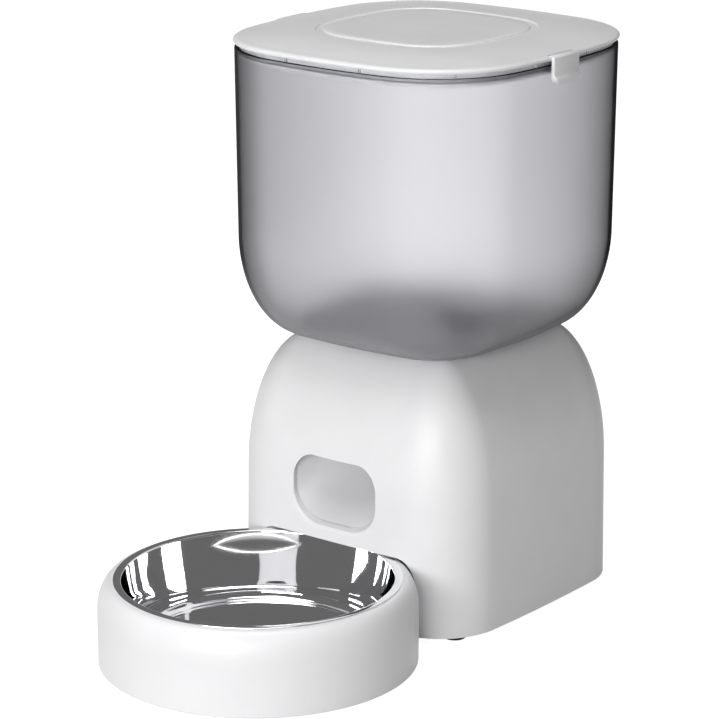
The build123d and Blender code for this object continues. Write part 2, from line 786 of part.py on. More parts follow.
def rotor_cover():
    seat_z = tank_floor_z + housing_wall
    roof = turned([(cover_inner_radius, seat_z + cover_rise), (housing_flange_radius, seat_z),
                   (housing_flange_radius, seat_z + cover_thickness),
                   (cover_inner_radius, seat_z + cover_rise + cover_thickness)], cover_angle)
    foot = turned([(housing_inner_radius, seat_z), (housing_flange_radius, seat_z),
                   (housing_flange_radius, seat_z + cover_thickness)], cover_angle)
    return Rot(0, 0, -90 - cover_angle / 2) * (roof + foot)


# Lid

def lid_form():
    edge_mid_z = lid_edge_z + 0.8
    roll_z = lid_edge_z + lid_edge_height
    lower = stacked(lid_plan, [(lid_edge_z, 0.5), (edge_mid_z, 0.0)], ruled=True)
    roll = stacked(lid_plan, rounded_levels(edge_mid_z, roll_z, 0.0, 4.0, 4))
    crown_inset_end = (lid_width - panel_width) / 2
    crown = []
    for share in (0.0, 0.3, 0.65, 1.0):
        rise = lid_crown_rise * (1 - (1 - share) ** 2)
        crown.append((roll_z + rise, 4.0 + (crown_inset_end - 4.0) * share))
    return lower + roll + stacked(lid_plan, crown)


def lid_shell():
    shell = lid_form()
    top_z = lid_top_z - lid_skin
    half_gap = (lid_width - panel_width) / 2
    rim_z = lid_edge_z + lid_edge_height - lid_skin + 0.4
    room = stacked(lid_plan, [(lid_edge_z - 1, lid_rim_width), (rim_z, lid_rim_width), (top_z - 0.3, half_gap)],
                   ruled=True)
    bosses = [rod(screw_boss_radius, lid_edge_z, lid_top_z, place) & shell for place in lid_screw_places()]
    shell -= room
    groove_z = lid_top_z - panel_groove_depth
    shell -= stacked(panel_plan, [(groove_z, -panel_groove), (lid_top_z + 1, -panel_groove - 2)], ruled=True)
    plateau = prism(squircle(panel_plan), groove_z - 0.6, lid_top_z + panel_rise)
    plateau = chamfer(plateau.edges().group_by(Axis.Z)[-1], panel_chamfer)
    shell += plateau
    for boss in bosses:
        shell += boss
    for place in lid_screw_places():
        shell -= rod(screw_radius, lid_edge_z - 1, lid_edge_z + 2.2, place)
    for side in (-1, 1):
        notch_y = latch_width / 2 + touch_clearance
        notch_x = latch_pin_x - latch_pin_radius - latch_knuckle_wall - touch_clearance
        x = sorted((side * notch_x, side * lid_width))
        shell -= Pos(0, latch_offset_y, 0) * block(x, (-notch_y, notch_y), (lid_edge_z - 1, lid_top_z + 5))
        shell -= latch_pin(side)
    return shell


def lid_screw_places():
    ends = (-lid_screw_spread, lid_screw_spread)
    return [(x, y) for x in ends for y in ends]


def lid_liner():
    cup = prism(squircle(lid_plan, liner_inset), liner_bottom_z, lid_edge_z)
    cup -= prism(squircle(lid_plan, liner_inset + liner_wall), liner_bottom_z - 1, lid_edge_z - liner_wall)
    cup -= seal_ring(seal_groove, seal_groove)
    for place in lid_screw_places():
        cup -= rod(screw_radius, liner_bottom_z, lid_edge_z + 1, place)
    return cup


def seal_ring(depth, reach):
    """Ring round the liner, from a depth inside its skirt out to a reach beyond it."""
    low_z = liner_bottom_z + 2.0
    ring = squircle(lid_plan, liner_inset - reach) - squircle(lid_plan, liner_inset + depth)
    return prism(ring, low_z, low_z + seal_height)


def lid_seal():
    return seal_ring(seal_groove, liner_clearance - seal_clearance)


def lid_screws():
    seat_z = lid_edge_z - liner_wall
    return group([screw(3.8, seat_z, place, head_up=False) for place in lid_screw_places()])


def desiccant_box():
    top_z = lid_edge_z - liner_wall
    low_z = top_z - desiccant_depth
    room = rod(desiccant_radius - desiccant_wall, low_z - 1, top_z - desiccant_wall)
    return rod(desiccant_radius, low_z, top_z) - room


def desiccant_cover():
    low_z = lid_edge_z - liner_wall - desiccant_depth
    outer = desiccant_radius + touch_clearance + desiccant_cap_wall
    cap = rod(outer, low_z - desiccant_cap_wall, low_z + desiccant_cap_rim)
    cap -= rod(desiccant_radius + touch_clearance, low_z, low_z + desiccant_cap_rim + 1)
    pitch = 2 * desiccant_radius / (desiccant_slot_count + 2)
    for i in range(desiccant_slot_count):
        x = (i - (desiccant_slot_count - 1) / 2) * pitch
        half = 0.7 * math.sqrt(desiccant_radius**2 - x * x)
        cap -= block((x - 1.2, x + 1.2), (-half, half), (low_z - 5, low_z + 1))
    return cap


def latch_pin(side):
    low = latch_offset_y - latch_width / 2 - 4.0
    high = latch_offset_y + latch_width / 2 + 4.0
    return rod_along_y(latch_pin_radius, low, high, side * latch_pin_x, latch_pin_z)


def latch(side):
    """Side clip: a knuckle on the lid's edge, a tab down the hopper wall and a finger lip."""
    inner = lid_width / 2 - hopper_inset + touch_clearance
    outer = inner + latch_thickness
    top = latch_pin_z + latch_pin_radius + latch_knuckle_wall - 0.2
    lip = latch_bottom_z + latch_lip_height
    lip_x = outer + latch_lip_reach
    outline = [(latch_pin_x, top), (outer - 0.8, top), (outer, top - 0.8), (outer, lip + 2.0), (lip_x, lip),
               (lip_x, latch_bottom_z), (inner, latch_bottom_z), (inner, lid_edge_z + 0.1),
               (latch_pin_x, lid_edge_z + 0.1)]
    side_view = make_face(Polyline(*outline, close=True))
    side_view += Pos(latch_pin_x, latch_pin_z) * Circle(latch_pin_radius + latch_knuckle_wall)
    side_view -= Pos(latch_pin_x, latch_pin_z) * Circle(latch_pin_radius + running_clearance)
    body = extrude(Plane.XZ * side_view, latch_width / 2, both=True)
    tall = 2 * (top - latch_bottom_z)
    front_view = RectangleRounded(latch_width, tall, latch_corner)
    facing = Plane((0, 0, latch_bottom_z + tall / 2), x_dir=(0, 1, 0), z_dir=(1, 0, 0))
    body &= extrude(facing * front_view, lid_width)
    body = body if side > 0 else mirror(body, Plane.YZ)
    return Pos(0, latch_offset_y, 0) * body


def latch_pins():
    return group([latch_pin(-1), latch_pin(1)])


# Bowl

def holder_outline(inset=0.0):
    """Half section of the holder's outer wall and rolled top, as edges from the foot to the rim seat."""
    round_x = holder_radius - holder_round_width
    round_z = holder_top_z - holder_round_height
    wall = Line((holder_radius - inset, holder_bottom_z), (holder_radius - inset, round_z))
    roll = EllipticalCenterArc((round_x, round_z), holder_round_width - inset, holder_round_height - inset,
                               arc_size=90)
    return [wall, roll]


def bowl_holder():
    seat_radius = bowl_rim_radius - bowl_rim_width + bowl_seat_room
    round_x = holder_radius - holder_round_width
    under_z = holder_top_z - holder_wall
    outer = holder_outline()
    inner = holder_outline(holder_wall)
    closing = Polyline((round_x, holder_top_z), (seat_radius, holder_top_z), (seat_radius, holder_top_z - 7.0),
                       (seat_radius + holder_wall, holder_top_z - 7.0), (seat_radius + holder_wall, under_z),
                       (round_x, under_z))
    foot = Line((holder_radius - holder_wall, holder_bottom_z), (holder_radius, holder_bottom_z))
    ring = revolve(Plane.XZ * make_face(outer + inner + closing.edges() + [foot]), Axis.Z)
    rib = block((seat_radius + holder_wall / 2, holder_radius - holder_wall / 2), (-0.8, 0.8),
                (holder_top_z - 16.0, holder_top_z - holder_wall / 2))
    core = Polyline((round_x, holder_top_z), (0, holder_top_z), (0, holder_bottom_z),
                    (holder_radius, holder_bottom_z))
    envelope = revolve(Plane.XZ * make_face(outer + [core]), Axis.Z)
    for i in range(holder_rib_count):
        ring += (Rot(0, 0, 360.0 * i / holder_rib_count) * rib) & envelope
    for place in pad_places():
        post = rod(pad_radius, holder_bottom_z, holder_top_z - 10.0, place)
        ring += post & (envelope - rod(seat_radius, holder_bottom_z - 1, holder_top_z))
    return Pos(0, -bowl_distance, 0) * ring + tongue()


def pad_places():
    ring = holder_radius - holder_wall - pad_radius + 0.5
    return [(ring * math.cos(math.radians(t)), ring * math.sin(math.radians(t))) for t in (40, 140, 220, 320)]


def holder_pads():
    pads = [rod(pad_radius - 0.5, floor_z, holder_bottom_z, place) for place in pad_places()]
    return Pos(0, -bowl_distance, 0) * group(pads)


def steel_bowl():
    throat = bowl_rim_radius - bowl_rim_width
    rim_z = holder_top_z + bowl_sheet
    arc_middle = bowl_bend * (1 - math.sqrt(0.5))
    wall_foot = (throat - bowl_draft, bowl_floor_z + bowl_bend)
    floor_start = (wall_foot[0] - bowl_bend, bowl_floor_z)
    corner = (wall_foot[0] - arc_middle, bowl_floor_z + arc_middle)
    inside = [Line((bowl_rim_radius, rim_z), (throat + 1, rim_z)),
              Line((throat + 1, rim_z), (throat, rim_z - 1.5)),
              Line((throat, rim_z - 1.5), wall_foot), ThreePointArc(wall_foot, corner, floor_start),
              Line(floor_start, (0, bowl_floor_z))]
    s = bowl_sheet
    low_z = bowl_floor_z - s
    under = [Line((0, bowl_floor_z), (0, low_z)), Line((0, low_z), (floor_start[0], low_z)),
             ThreePointArc((floor_start[0], bowl_floor_z - s), (corner[0] + 0.7 * s, corner[1] - 0.7 * s),
                           (wall_foot[0] + s, wall_foot[1])),
             Line((wall_foot[0] + s, wall_foot[1]), (throat + s, rim_z - 1.5)),
             Line((throat + s, rim_z - 1.5), (throat + 1 + 0.4 * s, holder_top_z)),
             Line((throat + 1 + 0.4 * s, holder_top_z), (bowl_rim_radius, holder_top_z)),
             Line((bowl_rim_radius, holder_top_z), (bowl_rim_radius, rim_z))]
    return Pos(0, -bowl_distance, 0) * revolve(Plane.XZ * make_face(inside + under), Axis.Z)


nodes = {
    "base_shell": base_shell,
    "base_plate": base_plate,
    "food_chute": food_chute,
    "rubber_feet": rubber_feet,
    "plate_screws": plate_screws,
    "gearbox_housing": gearbox_housing,
    "gearbox_cover": gearbox_cover,
    "output_bush": output_bush,
    "idler_axle": idler_axle,
    "output_gear": output_gear,
    "idler_gear": idler_gear,
    "motor_pinion": motor_pinion,
    "motor_shaft": motor_shaft,
    "drive_motor": drive_motor,
    "gearbox_screws": gearbox_screws,
    "motor_screws": motor_screws,
    "battery_box": battery_box,
    "battery_door": battery_door,
    "battery_contacts": battery_contacts,
    "circuit_board": circuit_board,
    "feed_button": feed_button,
    "light_pipe": light_pipe,
    "power_inlet": power_inlet,
    "board_screws": board_screws,
    "hopper_tank": hopper_tank,
    "rotor_housing": rotor_housing,
    "housing_screws": housing_screws,
    "food_rotor": food_rotor,
    "rotor_cover": rotor_cover,
    "lid_shell": lid_shell,
    "lid_liner": lid_liner,
    "lid_seal": lid_seal,
    "lid_screws": lid_screws,
    "desiccant_box": desiccant_box,
    "desiccant_cover": desiccant_cover,
    "latch_left": lambda: latch(-1),
    "latch_right": lambda: latch(1),
    "latch_pins": latch_pins,
    "bowl_holder": bowl_holder,
    "holder_pads": holder_pads,
    "steel_bowl": steel_bowl,
}

os.makedirs("parts", exist_ok=True)
for name, make in nodes.items():
    export_step(Pos(0, frame_shift_y, -floor_z) * make(), os.path.join("parts", name + ".step"))
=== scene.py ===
import json
import math
import bpy
import bmesh
from mathutils import Matrix, Vector


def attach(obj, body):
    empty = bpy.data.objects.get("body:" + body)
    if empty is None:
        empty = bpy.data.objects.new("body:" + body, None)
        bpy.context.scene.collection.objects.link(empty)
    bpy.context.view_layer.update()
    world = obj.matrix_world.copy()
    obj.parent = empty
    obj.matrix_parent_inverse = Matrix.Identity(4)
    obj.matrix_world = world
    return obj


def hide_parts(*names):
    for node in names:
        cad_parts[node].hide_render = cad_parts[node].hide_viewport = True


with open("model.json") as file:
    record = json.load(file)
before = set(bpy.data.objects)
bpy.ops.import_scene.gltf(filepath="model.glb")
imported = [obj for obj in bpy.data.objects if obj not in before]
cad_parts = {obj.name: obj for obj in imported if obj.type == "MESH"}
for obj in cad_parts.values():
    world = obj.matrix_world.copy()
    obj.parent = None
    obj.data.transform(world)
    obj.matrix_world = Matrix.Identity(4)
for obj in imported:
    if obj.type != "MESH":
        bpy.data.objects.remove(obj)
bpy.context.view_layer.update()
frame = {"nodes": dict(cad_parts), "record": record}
print("stage: frame loaded")

# Sizes below are in millimetres about the hopper's axis, and point() turns them into the row frame
mm = 0.001
shiftY = 67.15
liftZ = 2.0

# Edges sharper than this angle in degrees stay sharp, and points nearer than these metres are welded
sharpEdge = 32.0
weld = 1e-7
cadWeld = 1e-6


def point(x, y, z):
    return Vector((x * mm, (y + shiftY) * mm, (z + liftZ) * mm))


def place(name, data):
    made = bpy.data.objects.new(name, data)
    bpy.context.scene.collection.objects.link(made)
    return made


# Shader graphs

noiseMean = 0.5


class Wire:
    def __init__(self, tree, socket):
        self.tree = tree
        self.socket = socket

    def node(self, kind, settings=None, inputs=None, output=0):
        made = self.tree.nodes.new(kind)
        for key, value in (settings or {}).items():
            setattr(made, key, value)
        for key, value in (inputs or {}).items():
            self.put(made.inputs[key], value)
        return Wire(self.tree, made.outputs[output])

    def put(self, socket, value):
        if isinstance(value, Wire):
            self.tree.links.new(value.socket, socket)
        else:
            socket.default_value = value

    def maths(self, operation, first, second):
        return self.node("ShaderNodeMath", {"operation": operation}, {0: first, 1: second})

    def __add__(self, other):
        return self.maths("ADD", self, other)

    def __radd__(self, other):
        return self.maths("ADD", other, self)

    def __sub__(self, other):
        return self.maths("SUBTRACT", self, other)

    def __mul__(self, other):
        return self.maths("MULTIPLY", self, other)

    def __rmul__(self, other):
        return self.maths("MULTIPLY", other, self)

    def __pow__(self, other):
        return self.maths("POWER", self, other)

    def swing(self, spread):
        return (self - noiseMean) * spread

    def clipped(self, low, high):
        limits = {0: self, 1: low, 2: high, 3: 0.0, 4: 1.0}
        return self.node("ShaderNodeMapRange", {"clamp": True}, limits)

    def blend(self, first, second):
        return self.node("ShaderNodeMix", {"data_type": "RGBA"}, {0: self, 6: first, 7: second}, 2)

    def noise(self, scale, detail=2.0, roughness=0.5):
        settings = {"Vector": self, "Scale": scale, "Detail": detail, "Roughness": roughness}
        return self.node("ShaderNodeTexNoise", {}, settings, "Fac")

    def bump(self, strength, distance):
        return self.node("ShaderNodeBump", {}, {"Strength": strength, "Distance": distance, "Height": self})

    # The share of the second shader in the material's surface
    def mixShaders(self, share, first, second):
        mixer = self.tree.nodes.new("ShaderNodeMixShader")
        self.put(mixer.inputs[0], share)
        self.tree.links.new(first.outputs[0], mixer.inputs[1])
        self.tree.links.new(second.outputs[0], mixer.inputs[2])
        self.tree.links.new(mixer.outputs[0], self.tree.nodes["Material Output"].inputs["Surface"])


def startMaterial(name):
    material = bpy.data.materials.new(name)
    material.use_nodes = True
    tree = material.node_tree
    shader = tree.nodes["Principled BSDF"]
    coords = Wire(tree, tree.nodes.new("ShaderNodeTexCoord").outputs["Object"])
    return material, shader, coords


def rgb(red, green, blue):
    return (red, green, blue, 1.0)


plasticNoise = {"mottleDetail": 3.0, "mottleVary": 0.04, "grainDetail": 4.0, "grainRough": 0.65, "grainVary": 0.1}
metalNoise = {"hazeDetail": 3.0, "fineDetail": 3.0, "fineRough": 0.6, "depth": 0.01}
smokeNoise = {"cloudDetail": 2.0, "frostDetail": 4.0, "frostRough": 0.6, "frostVary": 0.1, "depth": 0.03}
smokeShare = {"blend": 0.5, "mostPower": 2.0, "edgePower": 8.0}
board = {"scale": 220.0, "offset": 0.35, "gap": 0.018, "first": (0.01, 0.09, 0.04), "second": (0.012, 0.12, 0.05),
         "line": (0.03, 0.22, 0.1), "rough": 0.35, "grain": 900.0, "vary": 0.15}


def plastic(name, look):
    material, shader, coords = startMaterial(name)
    mottle = coords.noise(look["mottle"], plasticNoise["mottleDetail"])
    grain = coords.noise(look["grain"], plasticNoise["grainDetail"], plasticNoise["grainRough"])
    rough = look["rough"] + mottle.swing(plasticNoise["mottleVary"]) + grain.swing(plasticNoise["grainVary"])
    coords.put(shader.inputs["Base Color"], mottle.blend(rgb(*look["dark"]), rgb(*look["light"])))
    coords.put(shader.inputs["Roughness"], rough)
    coords.put(shader.inputs["Normal"], grain.bump(look["bump"], look["depth"] * mm))
    shader.inputs["Specular IOR Level"].default_value = look["gloss"]
    return material


def metal(name, look):
    material, shader, coords = startMaterial(name)
    haze = coords.noise(look["haze"], metalNoise["hazeDetail"])
    fine = coords.noise(look["grain"], metalNoise["fineDetail"], metalNoise["fineRough"])
    coords.put(shader.inputs["Base Color"], haze.blend(rgb(*look["dark"]), rgb(*look["light"])))
    coords.put(shader.inputs["Roughness"], look["rough"] + haze.swing(look["vary"]))
    coords.put(shader.inputs["Normal"], fine.bump(look["bump"], metalNoise["depth"] * mm))
    shader.inputs["Metallic"].default_value = 1.0
    return material


# Smoke plastic: frosted and clear face on, dense where the sight line runs along the wall
def smoke(name, look):
    material, shader, coords = startMaterial(name)
    cloud = coords.noise(look["cloud"], smokeNoise["cloudDetail"])
    frost = coords.noise(look["frost"], smokeNoise["frostDetail"], smokeNoise["frostRough"])
    relief = frost.bump(look["bump"], smokeNoise["depth"] * mm)
    coords.put(shader.inputs["Base Color"], cloud.blend(rgb(*look["tintDark"]), rgb(*look["tintLight"])))
    coords.put(shader.inputs["Roughness"], look["rough"] + frost.swing(smokeNoise["frostVary"]))
    coords.put(shader.inputs["Normal"], relief)
    shader.inputs["Transmission Weight"].default_value = 1.0
    shader.inputs["IOR"].default_value = look["ior"]
    dense = coords.tree.nodes.new("ShaderNodeBsdfPrincipled")
    # Below footZ the dense colour turns from near black to the foot's mid grey: painted shade, an even grey for the
    # dim bottom of the hopper
    height = coords.node("ShaderNodeSeparateXYZ", {}, {0: coords}, "Z")
    low = height.clipped(look["footZ"][0] * mm, look["footZ"][1] * mm)
    wall = cloud.blend(rgb(*look["denseDark"]), rgb(*look["denseLight"]))
    coords.put(dense.inputs["Base Color"], low.blend(wall, rgb(*look["foot"])))
    coords.put(dense.inputs["Roughness"], look["denseRough"] + frost.swing(smokeNoise["frostVary"]))
    coords.put(dense.inputs["Normal"], relief)
    dense.inputs["Specular IOR Level"].default_value = look["denseGloss"]
    facing = coords.node("ShaderNodeLayerWeight", {}, {"Blend": smokeShare["blend"]}, "Facing")
    most = look["most"] * facing ** smokeShare["mostPower"]
    coords.mixShaders(most + look["edge"] * facing ** smokeShare["edgePower"], shader, dense)
    return material


def circuit(name):
    material, shader, coords = startMaterial(name)
    lines = coords.node("ShaderNodeTexBrick", {"offset": board["offset"]}, {
        "Vector": coords, "Scale": board["scale"], "Mortar Size": board["gap"], "Color1": rgb(*board["first"]),
        "Color2": rgb(*board["second"]), "Mortar": rgb(*board["line"])}, "Color")
    coords.put(shader.inputs["Base Color"], lines)
    coords.put(shader.inputs["Roughness"], board["rough"] + coords.noise(board["grain"]) * board["vary"])
    return material


materials = {
    "white_plastic": plastic("white_plastic", {
        "dark": (0.80, 0.80, 0.81), "light": (0.86, 0.86, 0.87), "rough": 0.42, "mottle": 45.0,
        "grain": 2400.0, "bump": 0.22, "depth": 0.06, "gloss": 0.45}),
    # chute_grey is the white plastic made darker: painted shade for the inside of the outlet
    "chute_grey": plastic("chute_grey", {
        "dark": (0.61, 0.61, 0.62), "light": (0.66, 0.66, 0.67), "rough": 0.45, "mottle": 45.0,
        "grain": 2400.0, "bump": 0.22, "depth": 0.06, "gloss": 0.4}),
    "dark_rubber": plastic("dark_rubber", {
        "dark": (0.018, 0.018, 0.018), "light": (0.03, 0.03, 0.03), "rough": 0.75, "mottle": 90.0,
        "grain": 1800.0, "bump": 0.4, "depth": 0.08, "gloss": 0.3}),
    "silicone": plastic("silicone", {
        "dark": (0.42, 0.43, 0.44), "light": (0.52, 0.53, 0.54), "rough": 0.55, "mottle": 70.0,
        "grain": 1500.0, "bump": 0.15, "depth": 0.04, "gloss": 0.4}),
    "gear_plastic": plastic("gear_plastic", {
        "dark": (0.70, 0.68, 0.62), "light": (0.78, 0.76, 0.70), "rough": 0.38, "mottle": 60.0,
        "grain": 2000.0, "bump": 0.12, "depth": 0.03, "gloss": 0.5}),
    "black_plastic": plastic("black_plastic", {
        "dark": (0.012, 0.012, 0.013), "light": (0.022, 0.022, 0.023), "rough": 0.42, "mottle": 80.0,
        "grain": 2200.0, "bump": 0.25, "depth": 0.05, "gloss": 0.5}),
    "polished_steel": metal("polished_steel", {
        "dark": (0.93, 0.93, 0.94), "light": (0.96, 0.96, 0.97), "rough": 0.035, "vary": 0.02,
        "haze": 35.0, "grain": 1600.0, "bump": 0.03}),
    "zinc_steel": metal("zinc_steel", {
        "dark": (0.50, 0.50, 0.50), "light": (0.62, 0.62, 0.60), "rough": 0.32, "vary": 0.15,
        "haze": 400.0, "grain": 3000.0, "bump": 0.2}),
    "bush_brass": metal("bush_brass", {
        "dark": (0.60, 0.43, 0.18), "light": (0.72, 0.54, 0.26), "rough": 0.28, "vary": 0.12,
        "haze": 300.0, "grain": 2500.0, "bump": 0.15}),
    "board_green": circuit("board_green"),
    "smoke_plastic": smoke("smoke_plastic", {
        "tintDark": (0.81, 0.805, 0.826), "tintLight": (0.835, 0.83, 0.851), "rough": 0.42, "ior": 1.2,
        "cloud": 14.0, "frost": 1400.0, "bump": 0.12, "denseDark": (0.045, 0.045, 0.049),
        "denseLight": (0.06, 0.06, 0.065), "denseRough": 0.4, "denseGloss": 0.0, "most": 0.94, "edge": 4.0,
        # foot is painted shade: the mid grey of the hopper's dim bottom, below the footZ heights
        "foot": (0.33, 0.326, 0.34), "footZ": (192.0, 156.0)}),
    "clear_pipe": smoke("clear_pipe", {
        "tintDark": (0.86, 0.86, 0.87), "tintLight": (0.92, 0.92, 0.93), "rough": 0.15, "ior": 1.3,
        "cloud": 40.0, "frost": 1400.0, "bump": 0.05, "denseDark": (0.3, 0.3, 0.31),
        "denseLight": (0.4, 0.4, 0.41), "denseRough": 0.2, "denseGloss": 0.4, "most": 0.6, "edge": 0.0,
        "foot": (0.4, 0.4, 0.41), "footZ": (1.0, 0.0)}),
}
lidGloss = plastic("lid_gloss", {
    "dark": (0.79, 0.79, 0.80), "light": (0.84, 0.84, 0.85), "rough": 0.30, "mottle": 40.0,
    "grain": 2600.0, "bump": 0.1, "depth": 0.04, "gloss": 0.5})
print("stage: materials made")


# Mesh helpers


def outlineAngles(sideSteps, cornerSteps, plan):
    first, second = cornerAngles(plan)
    angles = [first * i / sideSteps for i in range(sideSteps)]
    angles += [first + (second - first) * i / cornerSteps for i in range(cornerSteps)]
    angles += [second + (math.pi / 2 - second) * i / sideSteps for i in range(sideSteps)]
    return [angle + math.pi / 2 * turn for turn in range(4) for angle in mirrored(angles, turn)]


# Odd quarters run the other way round the corner, so that side samples meet side samples
def mirrored(angles, turn):
    if turn % 2 == 0:
        return angles
    return sorted([0.0] + [math.pi / 2 - angle for angle in angles[1:]])


# A plan is width, depth, corner radius and side radius, and its arcs meet in tangents
def cornerShape(plan):
    width, depth, corner, side = plan
    u = side - width / 2
    v = side - depth / 2
    k = side - corner
    slope = v / u
    shift = (v * v - u * u) / (2 * u)
    half = slope * (shift + u)
    q = (-half + math.sqrt(half**2 - (slope**2 + 1) * ((shift + u) ** 2 - k * k))) / (slope**2 + 1)
    return u, v, slope * q + shift, q


def cornerAngles(plan):
    u, v, p, q = cornerShape(plan)
    return math.atan2(q, p + u), math.atan2(q + v, p)


# A point of the bowed outline with a given normal, moved in by the inset
def outlinePoint(plan, inset, angle):
    u, v, p, q = cornerShape(plan)
    first, second = cornerAngles(plan)
    c = math.cos(angle)
    s = math.sin(angle)
    folded = math.atan2(abs(s), abs(c))
    if folded < first:
        center = (-u, 0.0)
        radius = plan[3]
    elif folded > second:
        center = (0.0, -v)
        radius = plan[3]
    else:
        center = (p, q)
        radius = plan[2]
    return (math.copysign(1, c) * center[0] + (radius - inset) * c,
            math.copysign(1, s) * center[1] + (radius - inset) * s)


def ring(plan, inset, z, angles, y=0.0):
    return [(px, py + y, z) for px, py in (outlinePoint(plan, inset, a) for a in angles)]


# A circle whose points stand at the same bearings as another ring's
def roundRing(radius, z, around):
    turns = [math.atan2(py, px) for px, py, _ in around]
    return [(radius * math.cos(t), radius * math.sin(t), z) for t in turns]


# Levels of height and inset along a quarter ellipse
def quarter(zWall, zFlat, insetWall, insetFlat, steps):
    angles = [math.pi / 2 * i / steps for i in range(steps + 1)]
    return [(zWall + (zFlat - zWall) * math.sin(t), insetWall + (insetFlat - insetWall) * (1 - math.cos(t)))
            for t in angles]


# Radius and height along an elliptic arc, from one angle in degrees to another
def arc(centerR, centerZ, radiusR, radiusZ, start, end, steps):
    turns = [math.radians(start + (end - start) * i / steps) for i in range(steps + 1)]
    return [(centerR + radiusR * math.cos(t), centerZ + radiusZ * math.sin(t)) for t in turns]


def turned(profile, steps, y):
    turns = [2 * math.pi * i / steps for i in range(steps)]
    return [[(radius * math.cos(t), y + radius * math.sin(t), z) for t in turns] for radius, z in profile]


def skin(rings, closed=False, capStart=False, capEnd=False):
    mesh = bmesh.new()
    rows = [[mesh.verts.new(point(*p)) for p in one] for one in rings]
    pairs = list(zip(rows, rows[1:])) + ([(rows[-1], rows[0])] if closed else [])
    count = len(rows[0])
    for low, high in pairs:
        for i in range(count):
            j = (i + 1) % count
            mesh.faces.new((low[i], low[j], high[j], high[i]))
    for wanted, row in ((capStart, rows[0]), (capEnd, rows[-1])):
        if wanted:
            middle = mesh.verts.new(sum((v.co for v in row), Vector()) / count)
            for i in range(count):
                mesh.faces.new((row[i], row[(i + 1) % count], middle))
    bmesh.ops.remove_doubles(mesh, verts=mesh.verts, dist=weld)
    bmesh.ops.recalc_face_normals(mesh, faces=mesh.faces)
    return mesh


def smooth(data, sharp):
    data.shade_smooth()
    data.set_sharp_from_angle(angle=math.radians(sharp))


def finishMesh(mesh, name, sharp=sharpEdge):
    data = bpy.data.meshes.new(name)
    mesh.to_mesh(data)
    mesh.free()
    smooth(data, sharp)
    return place(name, data)


def solid(rings, name):
    return finishMesh(skin(rings, capStart=True, capEnd=True), name)


def box(low, high, name):
    xs, ys, zs = zip(low, high)
    corners = [(xs[0], ys[0]), (xs[1], ys[0]), (xs[1], ys[1]), (xs[0], ys[1])]
    return solid([[(x, y, z) for x, y in corners] for z in zs], name)


def applyModifiers(target):
    graph = bpy.context.evaluated_depsgraph_get()
    data = bpy.data.meshes.new_from_object(target.evaluated_get(graph))
    target.modifiers.clear()
    target.data = data


def cut(target, tools, operation="DIFFERENCE"):
    for tool in tools:
        modifier = target.modifiers.new("cut", "BOOLEAN")
        modifier.operation = operation
        modifier.solver = "EXACT"
        modifier.object = tool
        applyModifiers(target)
        smooth(target.data, sharpEdge)
        bpy.data.objects.remove(tool)


def dress(piece, body, material, node):
    piece.data.materials.clear()
    piece.data.materials.append(material)
    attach(piece, body)
    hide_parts(node)


# Repeated ribs: one box on each marked place, turned by the place's own angle
def ribTree(name):
    tree = bpy.data.node_groups.new(name, "GeometryNodeTree")
    tree.interface.new_socket("Geometry", in_out="INPUT", socket_type="NodeSocketGeometry")
    tree.interface.new_socket("Size", in_out="INPUT", socket_type="NodeSocketVector")
    tree.interface.new_socket("Material", in_out="INPUT", socket_type="NodeSocketMaterial")
    tree.interface.new_socket("Geometry", in_out="OUTPUT", socket_type="NodeSocketGeometry")
    entry = tree.nodes.new("NodeGroupInput")
    leave = tree.nodes.new("NodeGroupOutput")
    cube = tree.nodes.new("GeometryNodeMeshCube")
    angle = tree.nodes.new("GeometryNodeInputNamedAttribute")
    angle.data_type = "FLOAT_VECTOR"
    angle.inputs["Name"].default_value = "turn"
    spread = tree.nodes.new("GeometryNodeInstanceOnPoints")
    realize = tree.nodes.new("GeometryNodeRealizeInstances")
    paint = tree.nodes.new("GeometryNodeSetMaterial")
    link = tree.links.new
    link(entry.outputs["Size"], cube.inputs["Size"])
    link(entry.outputs["Geometry"], spread.inputs["Points"])
    link(cube.outputs["Mesh"], spread.inputs["Instance"])
    link(angle.outputs["Attribute"], spread.inputs["Rotation"])
    link(spread.outputs["Instances"], realize.inputs["Geometry"])
    link(realize.outputs["Geometry"], paint.inputs["Geometry"])
    link(entry.outputs["Material"], paint.inputs["Material"])
    link(paint.outputs["Geometry"], leave.inputs["Geometry"])
    return tree


def ribs(name, places, size, material):
    data = bpy.data.meshes.new(name)
    data.from_pydata([point(*spot) for spot, _ in places], [], [])
    turn = data.attributes.new("turn", "FLOAT_VECTOR", "POINT")
    for i, (_, angle) in enumerate(places):
        turn.data[i].vector = (0.0, 0.0, angle)
    made = place(name, data)
    modifier = made.modifiers.new("ribs", "NODES")
    tree = ribTree(name + "_tree")
    modifier.node_group = tree
    sockets = {item.name: item.identifier for item in tree.interface.items_tree if item.in_out == "INPUT"}
    modifier[sockets["Size"]] = [value * mm for value in size]
    modifier[sockets["Material"]] = material
    applyModifiers(made)
    return made


# Lid

